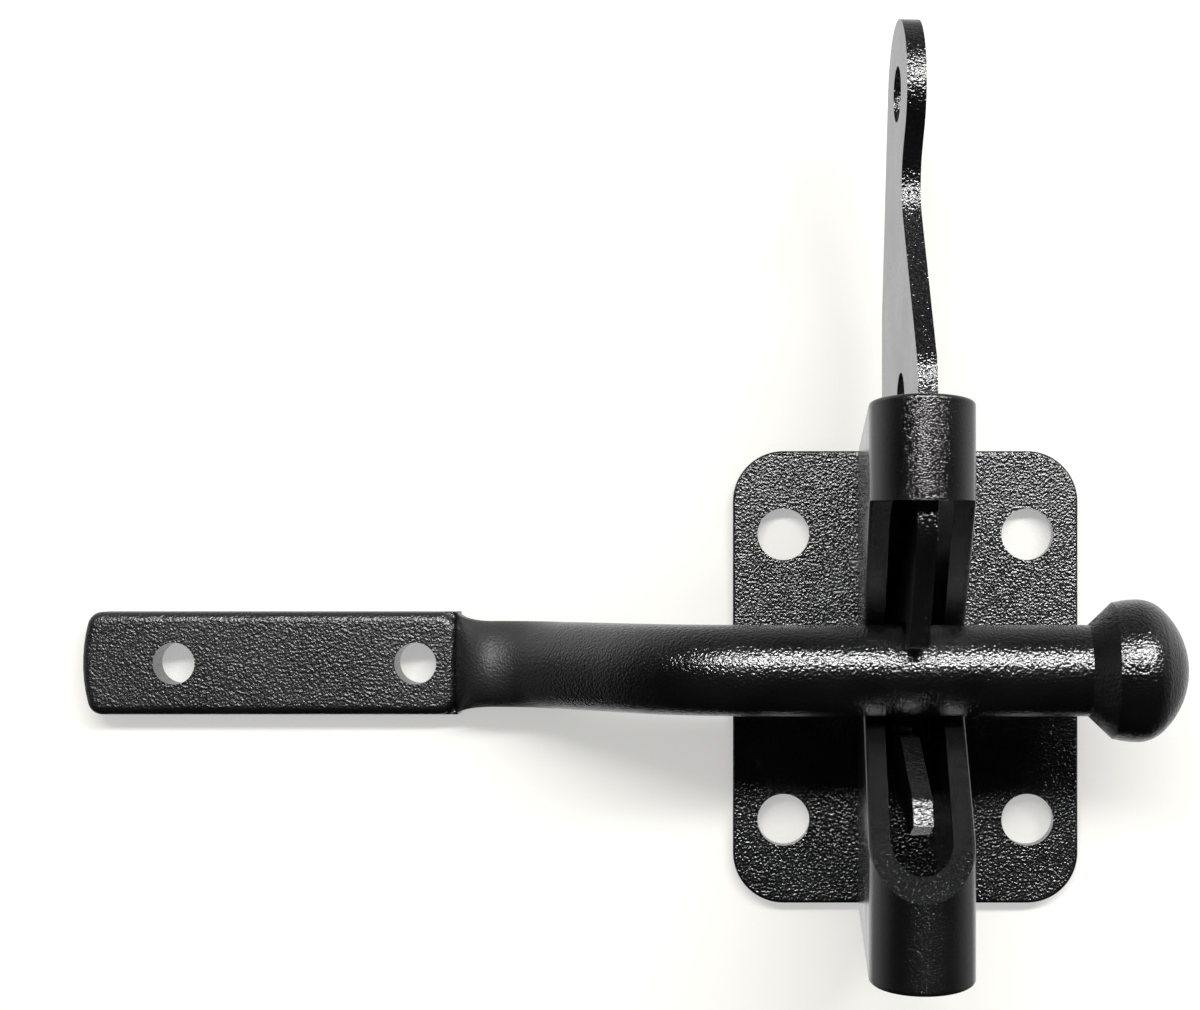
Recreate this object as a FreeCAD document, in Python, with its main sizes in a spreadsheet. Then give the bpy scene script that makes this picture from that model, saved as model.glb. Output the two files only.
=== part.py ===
import FreeCAD, Part
import math
import os
import Sketcher

# A spring loaded gate latch in two halves. The catch is a plate with a folded
# jaw channel on it and a sprung lever inside. The striker is one forged bar
# with a knob at one end and a bent, flattened foot at the other. It is drawn
# latched: the bar lies in the seat of the jaws and the lever's hook is over it.
#
# Frame: the origin is the middle of the catch plate's back. +X runs along the
# striker towards its knob, +Z is up and +Y points into the gate post. So every
# part stands out from the post towards -Y, and "reach" is that distance.

document = FreeCAD.newDocument("GateLatch")
sheet = document.addObject("Spreadsheet::Sheet", "Sizes")


class Size:
    """A number that remembers how it is worked out from the sheet's cells."""

    def __init__(self, value, text):
        self.value = value
        self.text = text

    def join(self, other, sign, value):
        return Size(value, "(" + self.text + sign + other.text + ")")

    def __add__(self, other):
        other = as_size(other)
        return self.join(other, " + ", self.value + other.value)

    def __sub__(self, other):
        other = as_size(other)
        return self.join(other, " - ", self.value - other.value)

    def __mul__(self, other):
        other = as_size(other)
        return self.join(other, " * ", self.value * other.value)

    def __truediv__(self, other):
        other = as_size(other)
        return self.join(other, " / ", self.value / other.value)

    def __neg__(self):
        return Size(-self.value, "(0 - " + self.text + ")")


def as_size(number):
    """Lets a plain number stand in a sum with sizes."""
    return number if isinstance(number, Size) else Size(float(number), repr(number))


def sine(angle):
    return Size(math.sin(math.radians(angle.value)), "sin(" + angle.text + " * 1 deg)")


def cosine(angle):
    return Size(math.cos(math.radians(angle.value)), "cos(" + angle.text + " * 1 deg)")


next_row = [1]


def cell(alias, number):
    """Writes one driving dimension into the sheet, in millimetres or degrees."""
    row = str(next_row[0])
    next_row[0] += 1
    sheet.set("A" + row, alias)
    sheet.set("B" + row, str(number))
    sheet.setAlias("B" + row, alias)
    return Size(float(number), "Sizes." + alias)


# The catch plate and its four screw holes.
plate_width = cell("plate_width", 58)
plate_height = cell("plate_height", 76)
plate_thickness = cell("plate_thickness", 3)
plate_corner = cell("plate_corner", 8.5)
plate_edge_round = cell("plate_edge_round", 0.5)
screw_hole = cell("screw_hole", 8.7)
screw_spacing_wide = cell("screw_spacing_wide", 41)
screw_spacing_high = cell("screw_spacing_high", 48)

# The jaw channel: one strip folded round a full radius, open at the plate.
channel_width = cell("channel_width", 16)
channel_sheet = cell("channel_sheet", 3.3)
nose_reach = cell("nose_reach", 54)
nose_half_height = cell("nose_half_height", 44)
channel_edge_round = cell("channel_edge_round", 0.6)

# The mouth cut through both cheeks, from the lips down to a round seat.
throat_height = cell("throat_height", 2.4)
seat_reach = cell("seat_reach", 30)
seat_clearance = cell("seat_clearance", 0.3)
mouth_angle = cell("mouth_angle", 42)
upper_lip_height = cell("upper_lip_height", 28.4)
upper_lip_start = cell("upper_lip_start", 6.2)
lower_lip_height = cell("lower_lip_height", 30.5)
lower_lip_start = cell("lower_lip_start", 6.3)

# The striker: a round bar, a turned knob, and a foot forged flat.
bar_diameter = cell("bar_diameter", 14.3)
knob_diameter = cell("knob_diameter", 22.3)
knob_start = cell("knob_start", 26.2)
knob_root_step = cell("knob_root_step", 0.7)
knob_cone = cell("knob_cone", 4.4)
knob_crown = cell("knob_crown", 0.5)
knob_land = cell("knob_land", 3.9)
knob_end_length = cell("knob_end_length", 8)
knob_end_round = cell("knob_end_round", 5.5)
bend_start = cell("bend_start", 68)
bend_slope = cell("bend_slope", 40)
bend_foot_round = cell("bend_foot_round", 14)
bend_bar_round = cell("bend_bar_round", 30)
foot_start = cell("foot_start", 75)
foot_end = cell("foot_end", 137.7)
foot_height = cell("foot_height", 17.2)
foot_thickness = cell("foot_thickness", 6)
foot_corner = cell("foot_corner", 2.5)
foot_neck_corner = cell("foot_neck_corner", 3)
foot_edge_round = cell("foot_edge_round", 1.6)
foot_end_bulge = cell("foot_end_bulge", 1.4)
foot_hole = cell("foot_hole", 7)
foot_hole_spacing = cell("foot_hole_spacing", 40.3)
foot_hole_inset = cell("foot_hole_inset", 15.5)
neck_overlap = cell("neck_overlap", 0.5)
neck_step = cell("neck_step", 0.1)
neck_run_in = cell("neck_run_in", 1.5)

# The pivot: a pin riveted flush, a sleeve that keeps the blade in its place,
# and the torsion spring that pushes the lever out against the nose.
pivot_reach = cell("pivot_reach", 11)
pin_diameter = cell("pin_diameter", 5)
pin_chamfer = cell("pin_chamfer", 0.4)
pin_press = cell("pin_press", 0.02)
running_clearance = cell("running_clearance", 0.08)
side_clearance = cell("side_clearance", 0.3)
sleeve_wall = cell("sleeve_wall", 0.6)
spring_wire = cell("spring_wire", 1.1)
spring_pitch = cell("spring_pitch", 1.16)
spring_turns = cell("spring_turns", 3)
spring_play = cell("spring_play", 0.25)
spring_bend = cell("spring_bend", 1.3)
spring_ball = cell("spring_ball", 1.04)
spring_seat_gap = cell("spring_seat_gap", 0.06)
spring_leg_up = cell("spring_leg_up", 20)
spring_leg_down = cell("spring_leg_down", 13)

# The lever: a blade stamped from sheet. Its points are measured from the pin,
# "out" away from the post and "up" along it, but the head is measured up from
# the neck and has the cable hole in its middle. It stands a little askew.
blade_thickness = cell("blade_thickness", 3)
blade_skew = cell("blade_skew", 4.5)
blade_side_shift = cell("blade_side_shift", 2.5)
blade_back = cell("blade_back", 2.5)
blade_knee = cell("blade_knee", 57.6)
stop_clearance = cell("stop_clearance", 0.3)
stop_low = cell("stop_low", 21.6)
stop_high = cell("stop_high", 45.6)
neck_out = cell("neck_out", 19.5)
neck_up = cell("neck_up", 75.4)
neck_round = cell("neck_round", 9)
head_out = cell("head_out", 16.5)
head_up = cell("head_up", 15)
head_radius = cell("head_radius", 11.5)
head_front_angle = cell("head_front_angle", 30)
head_back_angle = cell("head_back_angle", 12)
cable_hole = cell("cable_hole", 8.7)
lock_hole = cell("lock_hole", 8.7)
lock_hole_out = cell("lock_hole_out", 20.5)
lock_hole_up = cell("lock_hole_up", 42)
hub_radius = cell("hub_radius", 4.8)
notch_back_gap = cell("notch_back_gap", 1.5)
notch_top_gap = cell("notch_top_gap", 0.6)
notch_low_gap = cell("notch_low_gap", 3.2)
notch_round = cell("notch_round", 3)
hook_gap = cell("hook_gap", 0.25)
hook_bite = cell("hook_bite", 3.4)
hook_width = cell("hook_width", 3.9)
hook_lead = cell("hook_lead", 0.3)
hook_round = cell("hook_round", 1.2)
heel_down = cell("heel_down", 12)
tail_out = cell("tail_out", 33.5)
tail_up = cell("tail_up", 20)
tail_root = cell("tail_root", 1.5)
tail_width = cell("tail_width", 5.5)
tail_lean = cell("tail_lean", 37)
tail_nose = cell("tail_nose", 2.4)
tail_round = cell("tail_round", 1.6)

# How far a cut runs on past what it cuts.
cut_margin = cell("cut_margin", 2)

document.recompute()

bar_radius = bar_diameter / 2
nose_radius = channel_width / 2
cheek_inner = nose_radius - channel_sheet
nose_centre = nose_reach - nose_radius
pin_radius = pin_diameter / 2
neck_front = foot_thickness - foot_edge_round - neck_step
zero = Size(0.0, "0")
RIGHT = FreeCAD.Vector(1, 0, 0)
ACROSS = FreeCAD.Vector(0, 1, 0)
UP = FreeCAD.Vector(0, 0, 1)


def rebuild():
    """Works the document out again and stops on the first failed feature."""
    document.recompute()
    for item in document.Objects:
        if "Invalid" in item.State or "Error" in item.State:
            raise ValueError(item.Name + " failed: " + str(item.State))


def origin_plane(body, role):
    for feature in body.Origin.OriginFeatures:
        if feature.Role == role:
            return feature
    raise ValueError("no plane " + role)


def new_body(label):
    body = document.addObject("PartDesign::Body", label)
    body.Label = label
    return body


def new_sketch(body, name, role, shift=None):
    """Starts a sketch on one of the body's own planes, moved along its normal."""
    sketch = body.newObject("Sketcher::SketchObject", name)
    sketch.AttachmentSupport = [(origin_plane(body, role), "")]
    sketch.MapMode = "FlatFace"
    if shift is not None:
        sketch.AttachmentOffset = FreeCAD.Placement(
            FreeCAD.Vector(0, 0, shift.value), FreeCAD.Rotation()
        )
        sketch.setExpression("AttachmentOffset.Base.z", shift.text)
    return sketch


def hold(sketch, kind, arguments, size):
    """Adds one dimension to a sketch and binds it to the sheet."""
    index = sketch.addConstraint(Sketcher.Constraint(kind, *arguments, size.value))
    sketch.setExpression("Constraints[" + str(index) + "]", size.text)


def vector(x, y):
    return FreeCAD.Vector(x.value, y.value, 0)


def draw_outline(sketch, points):
    """Draws a closed outline of straight lines with every corner dimensioned."""
    first = sketch.GeometryCount
    count = len(points)
    for index, point in enumerate(points):
        following = points[(index + 1) % count]
        sketch.addGeometry(Part.LineSegment(vector(*point), vector(*following)), False)
    for index, point in enumerate(points):
        line = first + index
        following = first + (index + 1) % count
        sketch.addConstraint(Sketcher.Constraint("Coincident", line, 2, following, 1))
        hold(sketch, "DistanceX", (line, 1), point[0])
        hold(sketch, "DistanceY", (line, 1), point[1])


def draw_circle(sketch, x, y, radius):
    circle = Part.Circle(vector(x, y), UP, radius.value)
    index = sketch.addGeometry(circle, False)
    hold(sketch, "DistanceX", (index, 3), x)
    hold(sketch, "DistanceY", (index, 3), y)
    hold(sketch, "Radius", (index,), radius)


def pad(body, name, sketch, length, both_ways=False, reverse=False):
    feature = body.newObject("PartDesign::Pad", name)
    feature.Profile = sketch
    feature.Length = length.value
    feature.setExpression("Length", length.text)
    feature.Midplane = both_ways
    feature.Reversed = reverse
    rebuild()
    return feature


def cut_through(body, name, sketch):
    """Cuts a sketch through the whole body, both ways, and checks that it cut."""
    before = body.Shape.Volume
    feature = body.newObject("PartDesign::Pocket", name)
    feature.Profile = sketch
    feature.Type = "ThroughAll"
    feature.Midplane = True
    rebuild()
    if body.Shape.Volume > before - 0.01:
        raise ValueError(name + " cut nothing")
    return feature


def edges_where(shape, test):
    """Names the edges of a shape that pass a test, for a fillet or a chamfer."""
    return ["Edge" + str(i + 1) for i, edge in enumerate(shape.Edges) if test(edge)]


def round_edges(body, name, test, radius):
    names = edges_where(body.Shape, test)
    if not names:
        raise ValueError(name + " found no edges")
    base = body.Tip
    feature = body.newObject("PartDesign::Fillet", name)
    feature.Base = (base, names)
    feature.Radius = radius.value
    feature.setExpression("Radius", radius.text)
    rebuild()
    return feature


def is_straight(edge):
    return edge.Curve.TypeId == "Part::GeomLine"


def runs_along(edge, axis):
    """Says whether a straight edge runs along one of the three axes."""
    if not is_straight(edge):
        return False
    start = edge.Vertexes[0].Point
    end = edge.Vertexes[-1].Point
    return abs((end - start).normalize().dot(axis)) > 0.999


def lies_at(edge, axis, place):
    """Says whether a whole edge lies in the plane at this place on an axis."""
    box = edge.BoundBox
    low = FreeCAD.Vector(box.XMin, box.YMin, box.ZMin).dot(axis)
    high = FreeCAD.Vector(box.XMax, box.YMax, box.ZMax).dot(axis)
    return abs(low - place) < 0.01 and abs(high - place) < 0.01


def screw_corners():
    """Gives the places of the four screw holes of the catch plate."""
    corners = []
    for side in (-1, 1):
        for level in (-1, 1):
            corners.append((screw_spacing_wide * side / 2, screw_spacing_high * level / 2))
    return corners


def make_base_plate():
    """The plate that is screwed to the post: blanked from sheet, corners round."""
    body = new_body("base_plate")
    outline = new_sketch(body, "plate_outline", "XZ_Plane")
    right = plate_width / 2
    top = plate_height / 2
    draw_outline(outline, [(-right, -top), (right, -top), (right, top), (-right, top)])
    pad(body, "plate_blank", outline, plate_thickness)
    round_edges(body, "plate_corners", lambda edge: runs_along(edge, ACROSS), plate_corner)
    front = -plate_thickness.value
    round_edges(
        body, "plate_rim", lambda edge: lies_at(edge, ACROSS, front), plate_edge_round
    )
    holes = new_sketch(body, "screw_hole_places", "XZ_Plane")
    for x, z in screw_corners():
        draw_circle(holes, x, z, screw_hole / 2)
    cut_through(body, "screw_holes", holes)
    return body


def draw_channel_section(sketch):
    """Draws the folded strip seen from above: two cheeks and a full round nose."""
    foot = -plate_thickness
    middle = -nose_centre
    outer = nose_radius
    inner = cheek_inner
    corners = [
        ((-outer, foot), (-outer, middle)),
        ((outer, middle), (outer, foot)),
        ((outer, foot), (inner, foot)),
        ((inner, foot), (inner, middle)),
        ((-inner, middle), (-inner, foot)),
        ((-inner, foot), (-outer, foot)),
    ]
    for start, end in corners:
        sketch.addGeometry(Part.LineSegment(vector(*start), vector(*end)), False)
    centre = FreeCAD.Vector(0, middle.value, 0)
    for radius in (outer, inner):
        circle = Part.Circle(centre, UP, radius.value)
        sketch.addGeometry(Part.ArcOfCircle(circle, math.pi, 2 * math.pi), False)
    for index, (start, end) in enumerate(corners):
        hold(sketch, "DistanceX", (index, 1), start[0])
        hold(sketch, "DistanceY", (index, 1), start[1])
    for first, second in ((1, 2), (2, 3), (4, 5)):
        sketch.addConstraint(Sketcher.Constraint("Coincident", first, 2, second, 1))
    sketch.addConstraint(Sketcher.Constraint("Coincident", 5, 2, 0, 1))
    hold(sketch, "DistanceX", (0, 2), -outer)
    hold(sketch, "DistanceY", (0, 2), middle)
    hold(sketch, "DistanceX", (3, 2), inner)
    hold(sketch, "DistanceY", (3, 2), middle)
    for arc, left_line, left_end, right_line, right_end in ((6, 0, 2, 1, 1), (7, 4, 1, 3, 2)):
        sketch.addConstraint(Sketcher.Constraint("Coincident", arc, 1, left_line, left_end))
        sketch.addConstraint(Sketcher.Constraint("Coincident", arc, 2, right_line, right_end))
        hold(sketch, "DistanceY", (arc, 3), middle)


def mouth_corners():
    """Works out the mouth's straight cuts: tangent to the seat, out to the lips."""
    radius = bar_radius + seat_clearance
    slope = sine(mouth_angle) / cosine(mouth_angle)
    tangent_reach = seat_reach - radius * sine(mouth_angle)
    tangent_height = radius * cosine(mouth_angle)
    upper_start = throat_height + tangent_height
    lower_start = throat_height - tangent_height
    upper_reach = nose_reach - upper_lip_start
    lower_reach = nose_reach - lower_lip_start
    upper_height = upper_start + (upper_reach - tangent_reach) * slope
    lower_height = lower_start - (lower_reach - tangent_reach) * slope
    upper_slope = (upper_lip_height - upper_height) / upper_lip_start
    lower_slope = (lower_lip_height + lower_height) / lower_lip_start
    beyond = nose_reach + cut_margin
    return [
        (-tangent_reach, upper_start),
        (-upper_reach, upper_height),
        (-beyond, upper_lip_height + upper_slope * cut_margin),
        (-beyond, -lower_lip_height - lower_slope * cut_margin),
        (-lower_reach, lower_height),
        (-tangent_reach, lower_start),
    ]


def make_jaw_channel():
    """The two jaws: strip folded round the nose, then cut to a funnel mouth."""
    body = new_body("jaw_channel")
    section = new_sketch(body, "channel_section", "XY_Plane")
    draw_channel_section(section)
    root = plate_height / 2
    blank_half_height = nose_half_height + root
    pad(body, "channel_blank", section, blank_half_height * 2, both_ways=True)

    # The blank is trimmed so that its ends slope from the plate's edge to the nose.
    slope = (nose_half_height - root) / (nose_reach - plate_thickness)
    for name, side in (("upper_end", 1), ("lower_end", -1)):
        end_cut = new_sketch(body, name + "_line", "YZ_Plane")
        near = plate_thickness - cut_margin
        far = nose_reach + cut_margin
        near_height = (root - slope * cut_margin) * side
        far_height = (nose_half_height + slope * cut_margin) * side
        clear_height = (blank_half_height + cut_margin) * side
        draw_outline(
            end_cut,
            [(-near, near_height), (-far, far_height), (-far, clear_height), (-near, clear_height)],
        )
        cut_through(body, name, end_cut)

    seat = new_sketch(body, "seat_circle", "YZ_Plane")
    draw_circle(seat, -seat_reach, throat_height, bar_radius + seat_clearance)
    cut_through(body, "seat", seat)
    mouth = new_sketch(body, "mouth_lines", "YZ_Plane")
    draw_outline(mouth, mouth_corners())
    cut_through(body, "mouth", mouth)
    outside = nose_radius.value

    def on_cut_line(edge):
        at_cheek = lies_at(edge, RIGHT, outside) or lies_at(edge, RIGHT, -outside)
        return at_cheek and not runs_along(edge, UP)

    round_edges(body, "cut_edges", on_cut_line, channel_edge_round)
    pin_hole = new_sketch(body, "pin_hole_circle", "YZ_Plane")
    draw_circle(pin_hole, -pivot_reach, throat_height, pin_radius + pin_press)
    cut_through(body, "pin_hole", pin_hole)
    return body


def make_pivot_pin():
    """The pin through both cheeks, cut flush with them and riveted over."""
    body = new_body("pivot_pin")
    profile = new_sketch(body, "pin_profile", "XY_Plane")
    end = nose_radius
    draw_outline(
        profile,
        [
            (-end, -pivot_reach),
            (-end, -pivot_reach - pin_radius + pin_chamfer),
            (-end + pin_chamfer, -pivot_reach - pin_radius),
            (end - pin_chamfer, -pivot_reach - pin_radius),
            (end, -pivot_reach - pin_radius + pin_chamfer),
            (end, -pivot_reach),
        ],
    )
    turned = body.newObject("PartDesign::Revolution", "pin_turned")
    turned.Profile = profile
    turned.ReferenceAxis = (profile, ["Edge6"])
    turned.Angle = 360
    body.Placement = FreeCAD.Placement(
        FreeCAD.Vector(0, 0, throat_height.value), FreeCAD.Rotation()
    )
    body.setExpression("Placement.Base.z", throat_height.text)
    rebuild()
    return body


def sleeve_start():
    """The sleeve begins clear of the skewed blade's hub."""
    blade_face = blade_thickness / 2 / cosine(blade_skew) - blade_side_shift
    drift = hub_radius * sine(blade_skew) / cosine(blade_skew)
    return blade_face + drift + side_clearance


def make_spring_sleeve():
    """The short tube on the pin that fills the space beside the blade."""
    body = new_body("spring_sleeve")
    start = sleeve_start()
    section = new_sketch(body, "sleeve_section", "YZ_Plane", start)
    bore = pin_radius + running_clearance
    draw_circle(section, -pivot_reach, throat_height, bore)
    draw_circle(section, -pivot_reach, throat_height, bore + sleeve_wall)
    pad(body, "sleeve_tube", section, cheek_inner - start)
    return body


def make_torsion_spring():
    """The spring: round wire wound on the sleeve, with two straight legs.

    One leg runs down and bears on the plate. The other runs up behind the
    blade, and its end is turned across the blade's back edge to push it out.
    """
    wire = spring_wire.value
    thick = wire / 2
    radius = (pin_radius + running_clearance + sleeve_wall + spring_play).value + thick
    height = throat_height.value
    first = sleeve_start().value + thick + spring_play.value
    length = spring_pitch.value * spring_turns.value
    back = radius - pivot_reach.value

    # The winding starts at the back and turns downwards, away from the blade.
    helix = Part.makeHelix(spring_pitch.value, length, radius, 0, True)
    helix.Placement = FreeCAD.Placement(
        FreeCAD.Vector(first, -pivot_reach.value, height),
        FreeCAD.Rotation(ACROSS, UP, RIGHT, "XYZ"),
    )
    start = FreeCAD.Vector(first, back, height)
    end = FreeCAD.Vector(first + length, back, height)
    tangent = helix.Edges[0].tangentAt(helix.Edges[0].FirstParameter)
    section = Part.Wire(Part.Circle(start, tangent, thick).toShape())
    winding = Part.Wire(helix.Edges).makePipeShell([section], True, True)

    # The upper leg ends in a quarter bend and a short hook behind the blade.
    skewed_back = blade_back + blade_thickness / 2 * sine(blade_skew)
    push = -(pivot_reach - skewed_back - spring_seat_gap).value + thick
    corner = FreeCAD.Vector(first, push, height + spring_leg_up.value)
    tip = FreeCAD.Vector(-(blade_side_shift + blade_thickness / 2).value, push, corner.z)
    rise = (corner - start).normalize()
    bend = wire * spring_bend.value
    bend_from = corner - rise * bend
    bend_to = corner - RIGHT * bend
    bend_middle = corner - (rise + RIGHT) * (bend * (1 - math.sqrt(0.5)))
    leg_path = Part.Wire(
        [
            Part.LineSegment(start, bend_from).toShape(),
            Part.Arc(bend_from, bend_middle, bend_to).toShape(),
            Part.LineSegment(bend_to, tip).toShape(),
        ]
    )
    leg_section = Part.Wire(Part.Circle(start, rise, thick).toShape())
    upper_leg = leg_path.makePipeShell([leg_section], True, False)

    bearing = FreeCAD.Vector(
        end.x, -plate_thickness.value - thick, height - spring_leg_down.value
    )
    fall = bearing - end
    lower_leg = Part.makeCylinder(thick, fall.Length, end, fall)

    # A ball a little fuller than the wire covers each small kink.
    ball = thick * spring_ball.value
    joints = [Part.makeSphere(ball, start), Part.makeSphere(ball, end)]
    feature = document.addObject("Part::Feature", "torsion_spring")
    feature.Label = "torsion_spring"
    shape = winding
    for piece in joints + [upper_leg, lower_leg]:
        shape = shape.fuse(piece)
    feature.Shape = shape
    return feature


def blade_outline():
    """The blade seen from its side: x is towards the post, y is up the post."""
    web = nose_reach - channel_sheet - pivot_reach
    stop = web - stop_clearance
    bar_out = seat_reach - pivot_reach
    bar_front = bar_out + bar_radius
    notch_back = bar_out - bar_radius - notch_back_gap
    notch_top = bar_radius + notch_top_gap
    notch_low = -bar_radius - notch_low_gap
    hook_inner = bar_front + hook_gap
    hook_tip = bar_radius - hook_bite
    head_height = neck_up + head_up
    head_front = (
        -head_out - head_radius * cosine(head_front_angle),
        head_height - head_radius * sine(head_front_angle),
    )
    head_back = (
        -head_out + head_radius * cosine(head_back_angle),
        head_height + head_radius * sine(head_back_angle),
    )
    tail_under = (
        -tail_out + tail_width * sine(tail_lean),
        -tail_up - tail_width * cosine(tail_lean),
    )
    return {
        "stop_low": (-stop, stop_low),
        "stop_high": (-stop, stop_high),
        "neck": (-neck_out, neck_up),
        "head_front": head_front,
        "head_middle": (-head_out, head_height),
        "head_back": head_back,
        "knee": (blade_back, blade_knee),
        "heel": (blade_back, -heel_down),
        "tail_under": tail_under,
        "tail_tip": (-tail_out - tail_round, -tail_up - tail_nose),
        "tail_front": (-tail_out, -tail_up + tail_round),
        "tail_top": (-bar_out - tail_root, notch_low),
        "notch_low": (-notch_back, notch_low),
        "notch_top": (-notch_back, notch_top),
        "hook_root": (-hook_inner, notch_top),
        "hook_tip": (-hook_inner - hook_lead, hook_tip),
        "hook_front": (-hook_inner - hook_width, hook_tip),
    }


def skewed_plane(body, name):
    """A sketch plane through the pin's axis, turned by the blade's skew."""
    sketch = body.newObject("Sketcher::SketchObject", name)
    sketch.AttachmentSupport = [(origin_plane(body, "YZ_Plane"), "")]
    sketch.MapMode = "FlatFace"
    sketch.AttachmentOffset = FreeCAD.Placement(
        FreeCAD.Vector(-pivot_reach.value, throat_height.value, -blade_side_shift.value),
        FreeCAD.Rotation(ACROSS, blade_skew.value),
    )
    sketch.setExpression("AttachmentOffset.Base.x", "-" + pivot_reach.text)
    sketch.setExpression("AttachmentOffset.Base.y", throat_height.text)
    sketch.setExpression("AttachmentOffset.Base.z", "-" + blade_side_shift.text)
    sketch.setExpression("AttachmentOffset.Rotation.Angle", blade_skew.text + " * 1 deg")
    return sketch


def make_latch_lever():
    """The lever: arm, hook and tail in one stamped blade, with its three holes."""
    body = new_body("latch_lever")
    corners = blade_outline()
    outline = skewed_plane(body, "blade_lines")
    draw_outline(outline, list(corners.values()))
    pad(body, "blade", outline, blade_thickness, both_ways=True)
    rounds = (
        ("neck_curve", ("neck",), neck_round),
        ("notch_curve", ("notch_low", "notch_top"), notch_round),
        ("tip_curve", ("hook_tip", "hook_front", "hook_root"), hook_round),
        ("tail_curve", ("tail_under", "tail_front"), tail_round),
        ("arm_curve", ("stop_low", "stop_high", "knee"), neck_round),
    )
    sketch_place = outline.Placement
    for name, wanted, radius in rounds:
        places = [sketch_place.multVec(vector(*corners[key])) for key in wanted]

        def at_corner(edge):
            if not is_straight(edge):
                return False
            middle = edge.CenterOfMass
            return any((middle - place).Length < 0.05 for place in places)

        round_edges(body, name, at_corner, radius)
    head_height = neck_up + head_up
    discs = (
        ("head", head_out, head_height, head_radius),
        ("hub", zero, zero, hub_radius),
    )
    for name, out, up, radius in discs:
        disc = skewed_plane(body, name + "_circle")
        draw_circle(disc, -out, up, radius)
        pad(body, name + "_disc", disc, blade_thickness, both_ways=True)
    holes = (
        ("pivot_bore", zero, zero, pin_radius + running_clearance),
        ("cable_bore", head_out, head_height, cable_hole / 2),
        ("lock_bore", lock_hole_out, lock_hole_up, lock_hole / 2),
    )
    for name, out, up, radius in holes:
        drilled = new_sketch(body, name + "_circle", "YZ_Plane")
        draw_circle(drilled, -pivot_reach - out, throat_height + up, radius)
        cut_through(body, name, drilled)
    return body


def draw_foot(sketch):
    """Draws the foot from the front: a long plate whose outer end is a shallow arc."""
    low = foot_height / 2
    arc_radius = (low * low + foot_end_bulge * foot_end_bulge) / (foot_end_bulge * 2)
    left = -foot_end + foot_end_bulge
    corners = [
        (left, throat_height - low),
        (-foot_start, throat_height - low),
        (-foot_start, throat_height + low),
        (left, throat_height + low),
    ]
    for index in range(3):
        line = Part.LineSegment(vector(*corners[index]), vector(*corners[index + 1]))
        sketch.addGeometry(line, False)
    centre = (arc_radius - foot_end, throat_height)
    half_turn = math.asin(low.value / arc_radius.value)
    circle = Part.Circle(vector(*centre), UP, arc_radius.value)
    sketch.addGeometry(Part.ArcOfCircle(circle, math.pi - half_turn, math.pi + half_turn), False)
    for index, corner in enumerate(corners):
        hold(sketch, "DistanceX", (index, 1), corner[0])
        hold(sketch, "DistanceY", (index, 1), corner[1])
        following = (index + 1) % len(corners)
        sketch.addConstraint(Sketcher.Constraint("Coincident", index, 2, following, 1))
    hold(sketch, "DistanceX", (3, 3), centre[0])


def draw_bend(sketch):
    """Draws the bar's middle line: an arc out, a slope, an arc back, then straight."""
    fall = sine(bend_slope)
    level = cosine(bend_slope)
    rise = seat_reach - bar_radius
    both_rounds = bend_foot_round + bend_bar_round
    slope_length = (rise - both_rounds * (as_size(1) - level)) / fall
    first_end = (
        -bend_start + bend_foot_round * fall,
        -bar_radius - bend_foot_round * (as_size(1) - level),
    )
    second_start = (first_end[0] + slope_length * level, first_end[1] - slope_length * fall)
    second_end = (second_start[0] + bend_bar_round * fall, -seat_reach)
    knob = (knob_start + knob_cone, -seat_reach)
    turn = math.radians(bend_slope.value)
    quarter = math.pi / 2
    first_centre = (-bend_start, -bar_radius - bend_foot_round)
    second_centre = (second_end[0], bend_bar_round - seat_reach)
    first = Part.Circle(vector(*first_centre), UP, bend_foot_round.value)
    second = Part.Circle(vector(*second_centre), UP, bend_bar_round.value)
    sketch.addGeometry(Part.ArcOfCircle(first, quarter - turn, quarter), False)
    sketch.addGeometry(Part.LineSegment(vector(*first_end), vector(*second_start)), False)
    sketch.addGeometry(Part.ArcOfCircle(second, -quarter - turn, -quarter), False)
    sketch.addGeometry(Part.LineSegment(vector(*second_end), vector(*knob)), False)
    hold(sketch, "DistanceX", (0, 2), -bend_start)
    hold(sketch, "DistanceY", (0, 2), -bar_radius)
    hold(sketch, "DistanceX", (0, 3), first_centre[0])
    hold(sketch, "DistanceY", (0, 3), first_centre[1])
    sketch.addConstraint(Sketcher.Constraint("Coincident", 0, 1, 1, 1))
    hold(sketch, "DistanceX", (1, 1), first_end[0])
    hold(sketch, "DistanceX", (1, 2), second_start[0])
    hold(sketch, "DistanceY", (1, 2), second_start[1])
    sketch.addConstraint(Sketcher.Constraint("Coincident", 1, 2, 2, 1))
    hold(sketch, "DistanceX", (2, 3), second_centre[0])
    hold(sketch, "DistanceY", (2, 3), second_centre[1])
    hold(sketch, "DistanceX", (2, 2), second_end[0])
    sketch.addConstraint(Sketcher.Constraint("Coincident", 2, 2, 3, 1))
    hold(sketch, "DistanceX", (3, 2), knob[0])
    hold(sketch, "DistanceY", (3, 2), knob[1])


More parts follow.
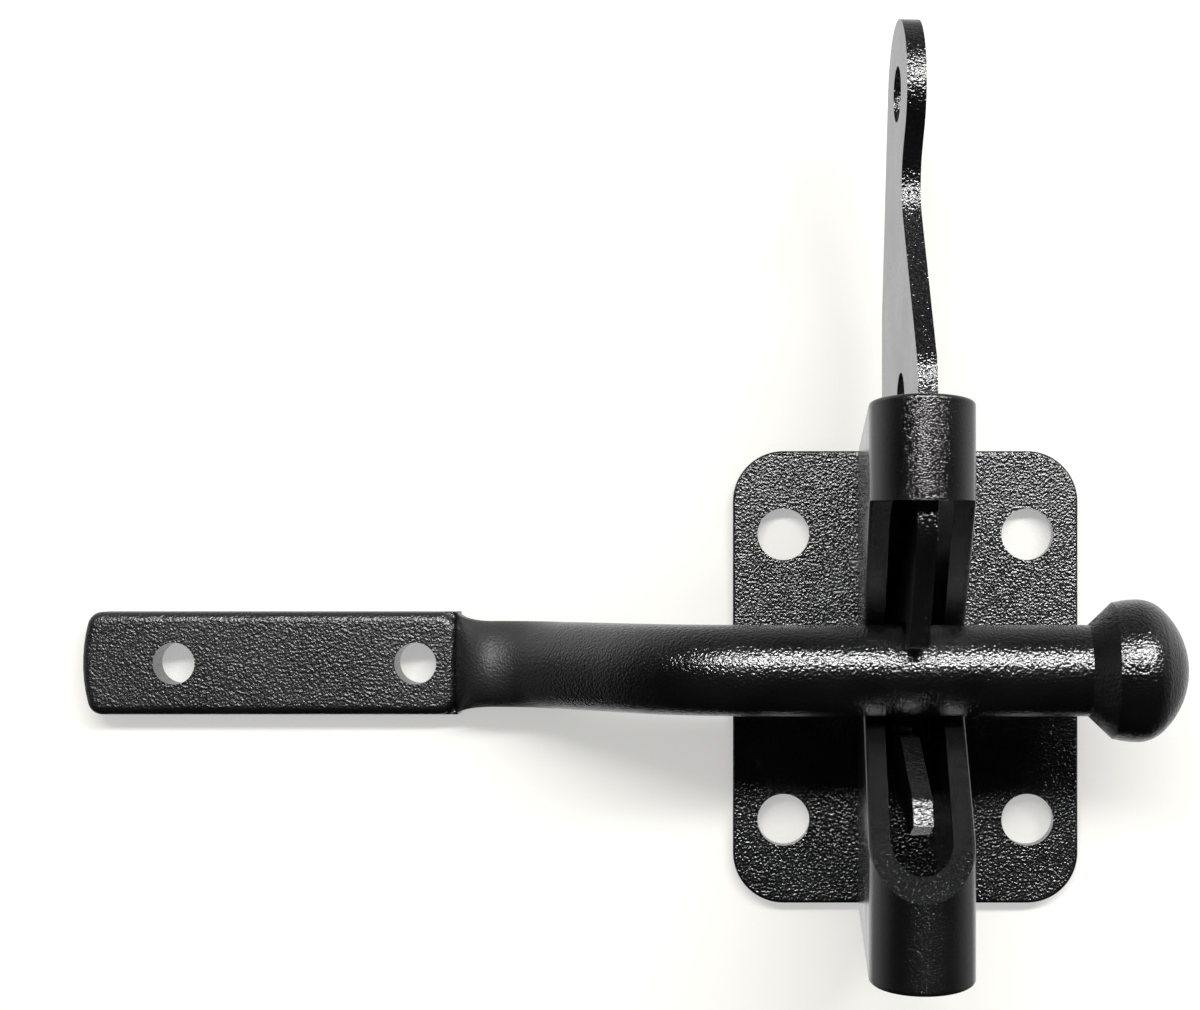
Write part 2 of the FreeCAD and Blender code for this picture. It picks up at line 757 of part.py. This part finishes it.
def draw_knob(sketch):
    """Draws half of the knob: a cone, a crowned land and a domed end.

    The dome is a wide arc at the tip that runs on into a tighter one at the rim.
    """
    axis = -seat_reach
    knob_radius = knob_diameter / 2
    full = axis - knob_radius
    cone_top = (knob_start + knob_cone, full + knob_crown)
    shoulder = cone_top[0] + knob_land
    end = (shoulder + knob_end_length, axis)
    root = (knob_start, axis - bar_radius + knob_root_step)
    rim = knob_end_round.value
    length = knob_end_length.value
    tip_radius = (
        length * length + knob_radius.value * knob_radius.value - 2 * knob_radius.value * rim
    ) / (2 * (length - rim))
    land_radius = (knob_land.value ** 2 + knob_crown.value ** 2) / (2 * knob_crown.value)
    tip_centre = FreeCAD.Vector(end[0].value - tip_radius, axis.value, 0)
    rim_centre = FreeCAD.Vector(shoulder.value, full.value + rim, 0)
    land_centre = FreeCAD.Vector(shoulder.value, full.value + land_radius, 0)
    apart = rim_centre - tip_centre
    meeting = math.atan2(apart.y, apart.x)
    bottom = -math.pi / 2
    land_turn = math.asin(knob_land.value / land_radius)
    start = vector(knob_start, axis)
    tip = Part.Circle(tip_centre, UP, tip_radius)
    edge = Part.Circle(rim_centre, UP, rim)
    land = Part.Circle(land_centre, UP, land_radius)
    sketch.addGeometry(Part.LineSegment(start, vector(*end)), False)
    sketch.addGeometry(Part.ArcOfCircle(tip, meeting, 0), False)
    sketch.addGeometry(Part.ArcOfCircle(edge, bottom, meeting), False)
    sketch.addGeometry(Part.ArcOfCircle(land, bottom - land_turn, bottom), False)
    sketch.addGeometry(Part.LineSegment(vector(*cone_top), vector(*root)), False)
    sketch.addGeometry(Part.LineSegment(vector(*root), start), False)
    hold(sketch, "DistanceX", (0, 1), knob_start)
    hold(sketch, "DistanceY", (0, 1), axis)
    hold(sketch, "DistanceX", (0, 2), end[0])
    hold(sketch, "DistanceY", (0, 2), axis)
    sketch.addConstraint(Sketcher.Constraint("Coincident", 0, 2, 1, 2))
    hold(sketch, "DistanceY", (1, 3), axis)
    sketch.addConstraint(Sketcher.Constraint("Tangent", 1, 1, 2, 2))
    hold(sketch, "DistanceX", (2, 3), shoulder)
    hold(sketch, "DistanceX", (2, 1), shoulder)
    hold(sketch, "DistanceY", (2, 1), full)
    hold(sketch, "Radius", (2,), knob_end_round)
    sketch.addConstraint(Sketcher.Constraint("Coincident", 2, 1, 3, 2))
    hold(sketch, "DistanceX", (3, 3), shoulder)
    hold(sketch, "DistanceX", (3, 1), cone_top[0])
    hold(sketch, "DistanceY", (3, 1), cone_top[1])
    sketch.addConstraint(Sketcher.Constraint("Coincident", 3, 1, 4, 1))
    hold(sketch, "DistanceX", (4, 2), root[0])
    hold(sketch, "DistanceY", (4, 2), root[1])
    sketch.addConstraint(Sketcher.Constraint("Coincident", 4, 2, 5, 1))
    sketch.addConstraint(Sketcher.Constraint("Coincident", 5, 2, 0, 1))


def make_foot(body):
    """The forged foot: a flat face with rounded rim, and its root behind the rim."""
    foot = new_sketch(body, "foot_outline", "XZ_Plane")
    draw_foot(foot)
    pad(body, "foot", foot, foot_thickness)
    outer_end = -foot_end.value / 2 - foot_start.value / 2

    def at_outer_end(edge):
        return runs_along(edge, ACROSS) and edge.CenterOfMass.x < outer_end

    def at_neck_end(edge):
        return runs_along(edge, ACROSS) and edge.CenterOfMass.x > -foot_start.value - 0.01

    round_edges(body, "foot_corners", at_outer_end, foot_corner)
    round_edges(body, "foot_neck_corners", at_neck_end, foot_neck_corner)
    face = -foot_thickness.value
    round_edges(body, "foot_rim", lambda edge: lies_at(edge, ACROSS, face), foot_edge_round)
    low = foot_height / 2
    inside = -foot_start - foot_neck_corner - foot_edge_round
    root = new_sketch(body, "foot_root_outline", "XZ_Plane")
    draw_outline(
        root,
        [
            (inside, throat_height - low),
            (-foot_start, throat_height - low),
            (-foot_start, throat_height + low),
            (inside, throat_height + low),
        ],
    )
    pad(body, "foot_root", root, neck_front)


def make_striker_bar():
    """The striker, forged from one bar: foot, neck, bend, straight bar and knob."""
    body = new_body("striker_bar")
    make_foot(body)

    # The neck goes over from the flat foot to the round bar.
    low = foot_height / 2
    neck_start = new_sketch(body, "neck_start", "YZ_Plane", -foot_start - neck_overlap)
    draw_outline(
        neck_start,
        [
            (zero, throat_height - low),
            (zero, throat_height + low),
            (-neck_front, throat_height + low),
            (-neck_front, throat_height - low),
        ],
    )
    sections = []
    for name, place in (("neck_run_in", bend_start + neck_run_in), ("neck_end", bend_start)):
        section = new_sketch(body, name, "YZ_Plane", -place)
        draw_circle(section, -bar_radius, throat_height, bar_radius)
        sections.append(section)
    neck = body.newObject("PartDesign::AdditiveLoft", "neck")
    neck.Profile = neck_start
    neck.Sections = sections
    rebuild()

    path = new_sketch(body, "bend_path", "XY_Plane", throat_height)
    draw_bend(path)
    section = new_sketch(body, "bar_section", "YZ_Plane", -bend_start)
    draw_circle(section, -bar_radius, throat_height, bar_radius)
    swept = body.newObject("PartDesign::AdditivePipe", "bent_bar")
    swept.Profile = section
    swept.Spine = path
    rebuild()

    knob = new_sketch(body, "knob_profile", "XY_Plane", throat_height)
    draw_knob(knob)
    turned = body.newObject("PartDesign::Revolution", "knob")
    turned.Profile = knob
    turned.ReferenceAxis = (knob, ["Edge1"])
    turned.Angle = 360
    rebuild()

    holes = new_sketch(body, "foot_hole_places", "XZ_Plane")
    outer = -foot_end + foot_hole_inset
    for x in (outer, outer + foot_hole_spacing):
        draw_circle(holes, x, throat_height, foot_hole / 2)
    cut_through(body, "foot_holes", holes)
    return body


def check_and_write(parts):
    """Stops on any failed feature, then writes one file for each piece."""
    rebuild()
    os.makedirs("parts", exist_ok=True)
    for part in parts:
        shape = part.Shape
        if shape.isNull() or not shape.isValid() or not shape.Solids:
            raise ValueError(part.Label + " has no valid solid")
        shape.exportStep("parts/" + part.Label + ".step")
        box = shape.BoundBox
        print(
            part.Label, len(shape.Solids), "solid",
            "volume", round(shape.Volume, 1),
            "x", round(box.XMin, 2), round(box.XMax, 2),
            "y", round(box.YMin, 2), round(box.YMax, 2),
            "z", round(box.ZMin, 2), round(box.ZMax, 2),
        )


pieces = [
    make_base_plate(),
    make_jaw_channel(),
    make_pivot_pin(),
    make_spring_sleeve(),
    make_torsion_spring(),
    make_latch_lever(),
    make_striker_bar(),
]
check_and_write(pieces)
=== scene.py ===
# %% [markdown]
# # A spring loaded gate latch in black powder coat
# The construction comes ready made: every piece of the latch is loaded at its
# real size and in its real place, in metres. What is left for Blender is the
# finish. The whole latch wears one black, pebbly powder coat, so the lesson is
# about how to make black read well on a white ground.

# %% Load the latch
import bmesh
import bpy
import math
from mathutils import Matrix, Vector


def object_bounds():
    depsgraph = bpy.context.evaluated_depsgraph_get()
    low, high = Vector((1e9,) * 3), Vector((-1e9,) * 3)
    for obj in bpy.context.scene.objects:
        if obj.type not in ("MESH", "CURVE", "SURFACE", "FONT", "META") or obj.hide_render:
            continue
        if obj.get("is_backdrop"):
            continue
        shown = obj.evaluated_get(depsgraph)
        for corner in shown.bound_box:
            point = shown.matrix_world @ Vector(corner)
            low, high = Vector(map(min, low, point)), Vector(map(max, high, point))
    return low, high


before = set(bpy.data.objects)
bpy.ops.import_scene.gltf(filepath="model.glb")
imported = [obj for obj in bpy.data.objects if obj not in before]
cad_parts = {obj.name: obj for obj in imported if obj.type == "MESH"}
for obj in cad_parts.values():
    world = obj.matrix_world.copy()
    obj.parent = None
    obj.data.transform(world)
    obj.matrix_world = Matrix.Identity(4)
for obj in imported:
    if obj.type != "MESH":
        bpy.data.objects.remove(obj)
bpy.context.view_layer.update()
print("nodes:", sorted(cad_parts))

# %% [markdown]
# ## Shader sums that read like sums
# A material here is arithmetic on noise: stretch it, mask it, mix it. Wiring
# each Math node by hand hides the sum, so a small class wraps one socket and
# lets ordinary operators add the nodes. The reflected forms let a plain number
# stand on the left, as in 1 - mask.


# %% A socket that can be added and multiplied
class Wire:
    """One output socket, with the sums that this file needs."""

    def __init__(self, bench, socket):
        self.bench = bench
        self.socket = socket

    def sum(self, operation, first, second):
        return self.bench.node(
            "ShaderNodeMath", {"operation": operation}, {0: first, 1: second}
        )

    def __add__(self, other):
        return self.sum("ADD", self, other)

    __radd__ = __add__

    def __sub__(self, other):
        return self.sum("SUBTRACT", self, other)

    def __rsub__(self, other):
        return self.sum("SUBTRACT", other, self)

    def __mul__(self, other):
        return self.sum("MULTIPLY", self, other)

    __rmul__ = __mul__

    def beside(self, name):
        """Another output of the same node."""
        return Wire(self.bench, self.socket.node.outputs[name])


print("sums are ready")

# %% [markdown]
# ## One way to add a node
# Everything that isn't a sum comes from one method. It sets the node up first,
# because a setting can decide which sockets the node has, and feeds its
# sockets after that. A socket is named by its label or by its number.


# %% A bench to wire nodes on
class Bench:
    """A node tree, with one way to add any node to it."""

    def __init__(self, name, tree=None, end="ShaderNodeOutputMaterial"):
        self.material = None
        if tree is None:
            self.material = bpy.data.materials.new(name)
            self.material.use_nodes = True
            tree = self.material.node_tree
        self.tree = tree
        self.end = end
        self.tree.nodes.clear()

    def node(self, kind, settings=None, sockets=None, output=0):
        """Adds a node, sets it up, feeds its sockets and gives one output."""
        made = self.tree.nodes.new(kind)
        for key, value in (settings or {}).items():
            if key == "stops":
                self.set_stops(made.color_ramp, value)
            else:
                setattr(made, key, value)
        for key, value in (sockets or {}).items():
            if isinstance(value, Wire):
                self.tree.links.new(value.socket, made.inputs[key])
            else:
                made.inputs[key].default_value = value
        return None if output is None else Wire(self, made.outputs[output])

    def set_stops(self, ramp, stops):
        """Puts a ramp's stops in, as pairs of place and grey."""
        for index, (place, grey) in enumerate(stops):
            stop = ramp.elements[index] if index < 2 else ramp.elements.new(place)
            stop.position = place
            stop.color = (grey, grey, grey, 1.0)

    def finish(self, shader):
        """Joins the shader to the tree's output."""
        self.node(self.end, {}, {"Surface": shader}, output=None)
        return self.material


print("the bench is ready")

# %% [markdown]
# ## Three tools for every finish
# Noise gives a surface its unevenness, a ramp picks the part of the noise that
# counts, and a mix turns that part into two colours. A Mix node keeps sockets
# for every kind of data: number 0 is its factor, and 6 and 7 are the colours.

# %% Noise, ramps and mixes
MIX_FACTOR, MIX_PLAIN, MIX_OTHER, MIX_RESULT = 0, 6, 7, 2


def noise(bench, place, size, detail=1.0):
    """Soft noise whose blobs are about this many metres across."""
    return bench.node(
        "ShaderNodeTexNoise",
        {"noise_dimensions": "3D"},
        {"Vector": place, "Scale": 1.0 / size, "Detail": detail},
    )


def ramp(bench, value, stops):
    """Grey stops along a value from 0 to 1."""
    return bench.node("ShaderNodeValToRGB", {"stops": stops}, {"Fac": value})


def colours(bench, mask, plain, other):
    """One colour where the mask is 0 and another where it is 1."""
    return bench.node(
        "ShaderNodeMix",
        {"data_type": "RGBA"},
        {MIX_FACTOR: mask, MIX_PLAIN: (*plain, 1.0), MIX_OTHER: (*other, 1.0)},
        output=MIX_RESULT,
    )


print("a mix's result is output", MIX_RESULT)

# %% [markdown]
# ## The powder coat
# Powder is sprayed on dry and melts in an oven. It doesn't flow quite flat, so
# the skin keeps a pebbly texture under half a millimetre across. Each pebble
# has its own small glint, and that is what shows as pale speckle on the black.
# Painted dots would look printed on. Real bumps make glints that move with the
# light, so the texture goes into the normal and the colour stays almost plain
# black, with faint clouds where the powder lies thinner.

# %% Powder black
POWDER_BLACK = (0.0032, 0.0032, 0.0034)
POWDER_WORN = (0.0060, 0.0058, 0.0058)
COAT_IOR = 1.7
COAT_GLOSS = 1.0
COAT_ROUGHNESS = 0.18
PEBBLE_SIZE = 0.00042
PEBBLE_HEIGHT = 0.00020
CLOUD_SIZE = 0.012
CLOUD_DETAIL = 3.0
CLOUD_DULL = 0.05
CLOUD_STOPS = [(0.35, 0.0), (0.7, 1.0)]

print("black is", POWDER_BLACK)

# %% [markdown]
# ## The coat of one piece
# Each piece has the same coat over a different ground. So one function makes
# it, and takes what differs: how coarse and how rough it is, a function that
# calms the pebbles, and a function that takes off gloss.


# %% Coat and wear it
def powder_coat(
    name,
    calm=None,
    pebble=PEBBLE_SIZE,
    height=PEBBLE_HEIGHT,
    rough=COAT_ROUGHNESS,
    dull=None,
):
    """Pebbles in the normal, and faint clouds in colour and gloss."""
    bench = Bench(name)
    place = bench.node("ShaderNodeTexCoord", output="Object")
    pebbles = noise(bench, place, pebble)
    if calm:
        pebbles = pebbles * calm(bench, place)
    skin = bench.node(
        "ShaderNodeBump",
        {},
        {"Strength": 1.0, "Distance": height, "Height": pebbles},
    )
    cloud = ramp(bench, noise(bench, place, CLOUD_SIZE, CLOUD_DETAIL), CLOUD_STOPS)
    roughness = cloud * CLOUD_DULL + rough
    if dull:
        roughness = roughness + dull(bench, place)
    shader = bench.node(
        "ShaderNodeBsdfPrincipled",
        {},
        {
            "Base Color": colours(bench, cloud, POWDER_BLACK, POWDER_WORN),
            "Roughness": roughness,
            "IOR": COAT_IOR,
            "Specular IOR Level": COAT_GLOSS,
            "Normal": skin,
        },
    )
    return bench.finish(shader)


def coat_node(node, material):
    """Gives one ready made piece its finish."""
    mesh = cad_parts[node].data
    mesh.materials.clear()
    mesh.materials.append(material)
    print(node, "wears", material.name)


print("a pebble is about", round(PEBBLE_SIZE * 1000, 2), "mm across")

# %% [markdown]
# ## The plate and the pin
# The plate is stamped from plain sheet, and the powder lies thick and a little
# dull on its broad face. The pin's ends are riveted flush with the cheeks and
# coated over with them. Neither needs more than the plain coat.

# %% Coat the plate and the pin
PLATE_ROUGHNESS = 0.23

coat_node("base_plate", powder_coat("plate_coat", rough=PLATE_ROUGHNESS))
coat_node("pivot_pin", powder_coat("pin_coat"))

# %% [markdown]
# ## Rolled faces and sheared edges
# The powder copies what lies under it. The broad sides of the lever and the
# jaws are rolled sheet and stay calm, so at a grazing angle they mirror the
# white room, while their sheared edges are coarser. Two materials would need
# every face sorted by hand. The surface's own normal says which way a face
# looks, so it can calm the pebbles on the faces that look left or right.

# %% Coat the lever and the jaws
ROLLED_CALM = 0.75
JAW_PEBBLE_SIZE = 0.00024
JAW_PEBBLE_HEIGHT = 0.00010


def calm_rolled_sides(bench, place):
    """Less where a face looks left or right, which is where the sheet was rolled."""
    normal = bench.node("ShaderNodeTexCoord", output="Normal")
    across = bench.node("ShaderNodeSeparateXYZ", {}, {"Vector": normal}, output="X")
    sideways = bench.node("ShaderNodeMath", {"operation": "ABSOLUTE"}, {0: across})
    return 1.0 - sideways * ROLLED_CALM


coat_node("latch_lever", powder_coat("lever_coat", calm_rolled_sides))
coat_node(
    "jaw_channel",
    powder_coat("jaw_coat", calm_rolled_sides, JAW_PEBBLE_SIZE, JAW_PEBBLE_HEIGHT),
)

# %% [markdown]
# ## A forged foot and a turned bar
# The striker is one piece made in two ways. The foot and the neck were forged
# and keep some scale under the powder, so they are coarse and dull. The bar
# was turned, so it is smoother and draws a clear line of light. The change is
# gradual, so both masks run along the bar's length, from the foot to the bar.

# %% Coat the striker
FOOT_END = -0.074
FOOT_CALM = 0.85
BAR_START = -0.040
BAR_CALM = 0.72
NECK_START = -0.0765
NECK_END = -0.056
NECK_DULL = 0.40
NECK_STOPS = [(0.08, 0.35), (0.28, 1.0), (0.52, 1.0), (1.0, 0.0)]


def along_bar(bench, place, start, end, first=0.0, last=1.0):
    """A value that goes from first to last between two places along the bar."""
    along = bench.node("ShaderNodeSeparateXYZ", {}, {"Vector": place}, output="X")
    return bench.node(
        "ShaderNodeMapRange",
        {},
        {
            "Value": along,
            "From Min": start,
            "From Max": end,
            "To Min": first,
            "To Max": last,
        },
    )


def calm_turned_bar(bench, place):
    """Most on the foot, and less along the bend until the turned bar begins."""
    return along_bar(bench, place, FOOT_END, BAR_START, FOOT_CALM, BAR_CALM)


def dull_forging(bench, place):
    """Extra roughness where scale was left: some on the foot, most on the neck."""
    share = along_bar(bench, place, NECK_START, NECK_END)
    return ramp(bench, share, NECK_STOPS) * NECK_DULL


coat_node(
    "striker_bar", powder_coat("striker_coat", calm_turned_bar, dull=dull_forging)
)

# %% [markdown]
# ## The hidden steel
# The spring and its sleeve are never coated: powder would glue the coils. They
# stay bare, oiled steel, and show only from below, between the cheeks. A plain
# metal shader would look like chrome, so faint stains take off some gloss.

# %% Bare steel
SPRING_STEEL = (0.36, 0.35, 0.34)
SPRING_ROUGHNESS = 0.3
SLEEVE_STEEL = (0.5, 0.5, 0.5)
SLEEVE_ROUGHNESS = 0.35
STAIN_SIZE = 0.002
STAIN_SHADE = 0.6
STAIN_DULL = 0.15


def bare_steel(name, colour, roughness):
    """Oiled steel with faint stains."""
    bench = Bench(name)
    place = bench.node("ShaderNodeTexCoord", output="Object")
    stain = ramp(bench, noise(bench, place, STAIN_SIZE, CLOUD_DETAIL), CLOUD_STOPS)
    stained = tuple(part * STAIN_SHADE for part in colour)
    shader = bench.node(
        "ShaderNodeBsdfPrincipled",
        {},
        {
            "Base Color": colours(bench, stain, colour, stained),
            "Metallic": 1.0,
            "Roughness": stain * STAIN_DULL + roughness,
        },
    )
    return bench.finish(shader)


coat_node(
    "torsion_spring", bare_steel("spring_steel", SPRING_STEEL, SPRING_ROUGHNESS)
)
coat_node("spring_sleeve", bare_steel("sleeve_steel", SLEEVE_STEEL, SLEEVE_ROUGHNESS))

# %% [markdown]
# ## Props that only some rays meet
# A white board and a dark tent help the picture, but they must not light the
# latch or hide it. Blender lets each kind of ray pass an object or meet it, so
# each prop is left for one kind of ray alone.

# %% Who meets a prop
RAYS = ("camera", "diffuse", "glossy", "transmission", "shadow")


def stand_prop(prop, ray):
    """Stands a prop in the scene, where one kind of ray alone meets it."""
    for kind in RAYS:
        setattr(prop, "visible_" + kind, kind == ray)
    bpy.context.scene.collection.objects.link(prop)
    print(prop.name, "has", len(prop.data.polygons), "faces and is for", ray, "rays")


print("a prop is met by one of", len(RAYS), "kinds of ray")


# %% [markdown]
# ## A white board to lie on
# The latch is fixed by the backs of its plate and foot, so the board stands in
# that plane. It has to be white to the eye, yet keep a shadow, so about a third
# of its white is its own glow and the rest is lit. The lit part is faintly
# cream, which shows only in the shade. The board is for the eye alone, and it
# is clear from behind, so that the latch shows from every side.

# %% The board
BOARD_HALF = 1.5
BOARD_GAP = 0.0002
BOARD_GLOW = 0.36
BOARD_COLOUR = (1.0, 0.98, 0.9, 1.0)
WHITE = (1.0, 1.0, 1.0, 1.0)


def board_white():
    """Lit and glowing in front, and clear from behind."""
    bench = Bench("board_white")
    lit = bench.node("ShaderNodeBsdfDiffuse", {}, {"Color": BOARD_COLOUR})
    glow = bench.node("ShaderNodeEmission", {}, {"Color": WHITE, "Strength": 1.0})
    front = bench.node("ShaderNodeMixShader", {}, {0: BOARD_GLOW, 1: lit, 2: glow})
    clear = bench.node("ShaderNodeBsdfTransparent")
    behind = bench.node("ShaderNodeNewGeometry", output="Backfacing")
    return bench.finish(
        bench.node("ShaderNodeMixShader", {}, {0: behind, 1: front, 2: clear})
    )


def white_board():
    """A square that faces the camera."""
    mesh = bpy.data.meshes.new("board")
    low, high = -BOARD_HALF, BOARD_HALF
    corners = [(low, low), (high, low), (high, high), (low, high)]
    mesh.from_pydata([(x, BOARD_GAP, z) for x, z in corners], [], [(0, 1, 2, 3)])
    mesh.materials.append(board_white())
    board = bpy.data.objects.new("board", mesh)
    stand_prop(board, "camera")
    board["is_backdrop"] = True


white_board()

# %% [markdown]
# ## A dark tent
# Black paint is only as black as what it mirrors. A photographer hangs black
# cloth round such a piece, so that its gloss shows the lamp and little else.
# This tent is a ball round the latch, open only behind it. The cloth fades to
# grey above, behind and to the sides, and that grey is the soft sheen on the
# faces that look up or aside. Only reflections can see it.

# %% The tent
TENT_RADIUS = 2.4
TENT_STEPS = 48
TENT_OPEN = math.radians(38)
TENT_LEAN = (0.62, 0.62, 0.42)
TENT_FADE = [(0.25, 0.0), (0.60, 0.16), (0.80, 0.40), (0.92, 0.60)]


def tent_cloth():
    """Black in front and below, and grey above, behind and to the sides."""
    bench = Bench("tent_cloth")
    place = bench.node("ShaderNodeTexCoord", output="Object")
    across = bench.node("ShaderNodeSeparateXYZ", {}, {"Vector": place}, output="X")
    aside = bench.node("ShaderNodeMath", {"operation": "ABSOLUTE"}, {0: across})
    lean_aside, lean_back, lean_up = (part / TENT_RADIUS for part in TENT_LEAN)
    lean = (
        aside * lean_aside
        + across.beside("Y") * lean_back
        + across.beside("Z") * lean_up
    )
    return bench.finish(
        bench.node(
            "ShaderNodeEmission",
            {},
            {"Color": ramp(bench, lean, TENT_FADE), "Strength": 1.0},
        )
    )


def dark_tent():
    """A ball round the latch, without the panels behind it."""
    mesh = bpy.data.meshes.new("tent")
    ball = bmesh.new()
    bmesh.ops.create_uvsphere(
        ball, u_segments=TENT_STEPS, v_segments=TENT_STEPS // 2, radius=TENT_RADIUS
    )
    open_from = TENT_RADIUS * math.cos(TENT_OPEN)
    away = [face for face in ball.faces if face.calc_center_median().y > open_from]
    bmesh.ops.delete(ball, geom=away, context="FACES")
    ball.to_mesh(mesh)
    ball.free()
    mesh.materials.append(tent_cloth())
    tent = bpy.data.objects.new("tent", mesh)
    stand_prop(tent, "glossy")
    tent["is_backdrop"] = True


dark_tent()

# %% [markdown]
# ## The lamp
# The photo was lit by one long strip of light, such as a window. It is narrow
# from top to bottom, so it draws a thin line along the bar and a sharp shadow
# below it. It is wide from side to side, so the jaws throw no shadow at all.
# One rectangular area lamp does both, which a round or point lamp can't.

# %% A strip of light
STRIP_DISTANCE = 0.9
STRIP_RISE = math.radians(29)
STRIP_TURN = math.radians(11)
STRIP_WIDTH = 1.1
STRIP_HEIGHT = 0.094
STRIP_POWER = 9.8


def strip_lamp():
    """A level strip in front of the latch, above it and a little to the right."""
    light = bpy.data.lights.new("strip", "AREA")
    light.shape = "RECTANGLE"
    light.size = STRIP_WIDTH
    light.size_y = STRIP_HEIGHT
    light.energy = STRIP_POWER
    level = math.cos(STRIP_RISE)
    right, out = math.sin(STRIP_TURN) * level, math.cos(STRIP_TURN) * level
    towards = Vector((right, -out, math.sin(STRIP_RISE)))
    lamp = bpy.data.objects.new("strip", light)
    lamp.location = towards * STRIP_DISTANCE
    lamp.rotation_euler = (-towards).to_track_quat("-Z", "Y").to_euler()
    bpy.context.scene.collection.objects.link(lamp)
    print("strip hung at", [round(part, 2) for part in lamp.location])


strip_lamp()

# %% [markdown]
# ## The white room
# The room has to look white, also in what the latch mirrors and past the edge
# of the board, but a room that shines that bright would grey the black. Light
# Path tells the rays apart, so the room is white to the rays that look at it
# and gives only plain fill light to the rest.

# %% The room
ROOM_LIGHT = 0.45


def white_room():
    """A world that looks white but gives little light of its own."""
    world = bpy.data.worlds.new("room")
    bpy.context.scene.world = world
    world.use_nodes = True
    bench = Bench("room", world.node_tree, "ShaderNodeOutputWorld")
    path = bench.node("ShaderNodeLightPath", output="Is Camera Ray")
    seen = path + path.beside("Is Glossy Ray") + path.beside("Is Transmission Ray")
    fill = bench.node(
        "ShaderNodeBackground", {}, {"Color": WHITE, "Strength": ROOM_LIGHT}
    )
    backdrop = bench.node("ShaderNodeBackground", {}, {"Color": WHITE, "Strength": 1.0})
    bench.finish(bench.node("ShaderNodeMixShader", {}, {0: seen, 1: fill, 2: backdrop}))


white_room()
bpy.context.scene.view_settings.view_transform = "Standard"
print("the room gives", ROOM_LIGHT, "of the light that it seems to")

# %% [markdown]
# ## The camera
# The photo looks straight at the post from 375 mm in front of the plate, a
# little left of it and above it. The picture was cropped after it was taken,
# so the lens axis isn't in its middle: that offset is the camera's shift.

# %% Camera
PHOTO_WIDTH = 1200
PHOTO_HEIGHT = 1010
AXIS_ACROSS = 775
AXIS_DOWN = 561
FOCAL_PIXELS = 2231
SENSOR_WIDTH = 36.0
NEAREST_SEEN = 0.01
CAMERA_PLACE = (-0.0219, -0.378, 0.0195)
LEVEL = (math.radians(90), 0, 0)

lens = bpy.data.cameras.new("camera")
lens.sensor_width = SENSOR_WIDTH
lens.lens = FOCAL_PIXELS / PHOTO_WIDTH * SENSOR_WIDTH
lens.shift_x = (PHOTO_WIDTH / 2 - AXIS_ACROSS) / PHOTO_WIDTH
lens.shift_y = (AXIS_DOWN - PHOTO_HEIGHT / 2) / PHOTO_WIDTH
lens.clip_start = NEAREST_SEEN
camera = bpy.data.objects.new("camera", lens)
camera.location = CAMERA_PLACE
camera.rotation_euler = LEVEL
bpy.context.scene.collection.objects.link(camera)
bpy.context.scene.camera = camera
print("lens", round(lens.lens, 1), "mm")

# %% [markdown]
# ## The size
# Everything that shows is measured, and its size is printed in millimetres.

# %% Sizes
seen_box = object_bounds()
low, high = seen_box
print("size in mm:", [round(1000 * (b - a), 1) for a, b in zip(low, high)])
